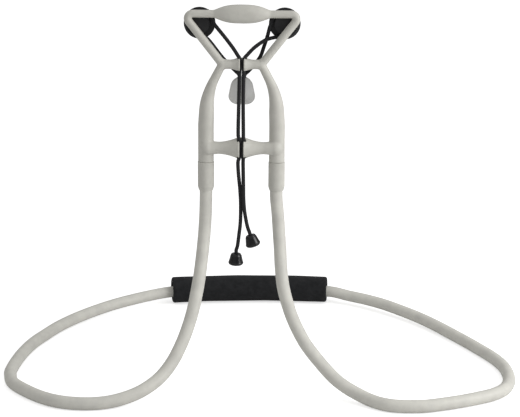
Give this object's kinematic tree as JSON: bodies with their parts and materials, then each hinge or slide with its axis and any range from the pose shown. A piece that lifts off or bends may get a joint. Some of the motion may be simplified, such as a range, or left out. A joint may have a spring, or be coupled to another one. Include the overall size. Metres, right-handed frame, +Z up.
{
  "type": "phone holder",
  "caption": "Bendable neck tube with a foam grip that carries an hourglass frame, where fixed hooks and a corded claw hold a phone by its long edges.",
  "frame": {"origin": "on the table, under the middle of the holder's footprint", "axes": "+X along the grip, to the right seen from the wearer's side; +Y from the frame towards the grip, which is also the side that the phone is held on; +Z up"},
  "size_m": [0.4161, 0.2878, 0.3026],
  "materials": {
    "sleeve_rubber": "smooth matte light grey rubber",
    "core_metal": "plain drawn wire",
    "grip_foam": "fine-grained matte charcoal foam",
    "frame_plastic": "matte light grey moulded plastic",
    "hook_plastic": "soft black moulded plastic",
    "claw_plastic": "satin white moulded plastic",
    "cord_fabric": "braided black elastic",
    "pull_plastic": "glossy black moulded plastic"
  },
  "bodies": {
    "neck": {"neck_sleeve": "sleeve_rubber", "core_wire": "core_metal", "foam_grip": "grip_foam"},
    "head": {"head_frame": "frame_plastic", "left_collar": "frame_plastic", "right_collar": "frame_plastic", "left_hook": "hook_plastic", "right_hook": "hook_plastic", "left_cord": "cord_fabric", "right_cord": "cord_fabric", "left_pull": "pull_plastic", "right_pull": "pull_plastic"},
    "claw": {"bottom_claw": "claw_plastic"}
  },
  "joints": [
    {"name": "head_tilt", "type": "hinge", "parent": "neck", "child": "head", "pos_m": [-0.016, -0.0505, 0.13], "axis": [1, 0, 0], "range_deg": [-30, 30], "deforming": ["neck_sleeve", "core_wire"]},
    {"name": "claw_slide", "type": "slide", "parent": "head", "child": "claw", "axis": [0, 0, 1], "range_m": [-0.016, 0.006], "stiffness_N_per_m": 150, "deforming": ["left_cord", "right_cord"]}
  ]
}
